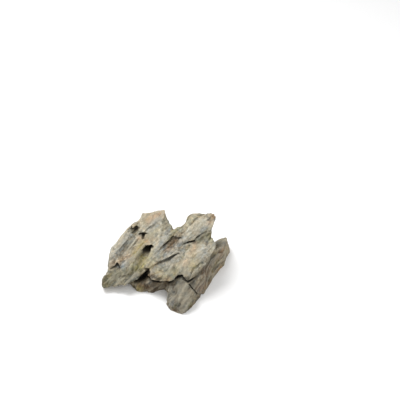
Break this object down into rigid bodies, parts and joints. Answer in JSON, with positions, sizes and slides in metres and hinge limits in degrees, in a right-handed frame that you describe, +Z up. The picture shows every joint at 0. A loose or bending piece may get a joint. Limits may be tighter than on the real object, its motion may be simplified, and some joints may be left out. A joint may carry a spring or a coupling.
{
  "type": "dragon stone",
  "caption": "Weathered clay stone for an aquarium or planter: a fluted, sloping upper layer with two peaks and deep pockets overhangs a lower layer with a blunt toe.",
  "frame": {"origin": "centre of the underside's box, on the surface the stone rests on", "axes": "+Z up; -Y towards the low front edge and the toe; +X towards the slab that juts out at the right"},
  "size_m": [0.1544, 0.1326, 0.065],
  "materials": {
    "claystone": "matte"
  },
  "bodies": {
    "root": {"stone": "claystone"}
  },
  "joints": []
}
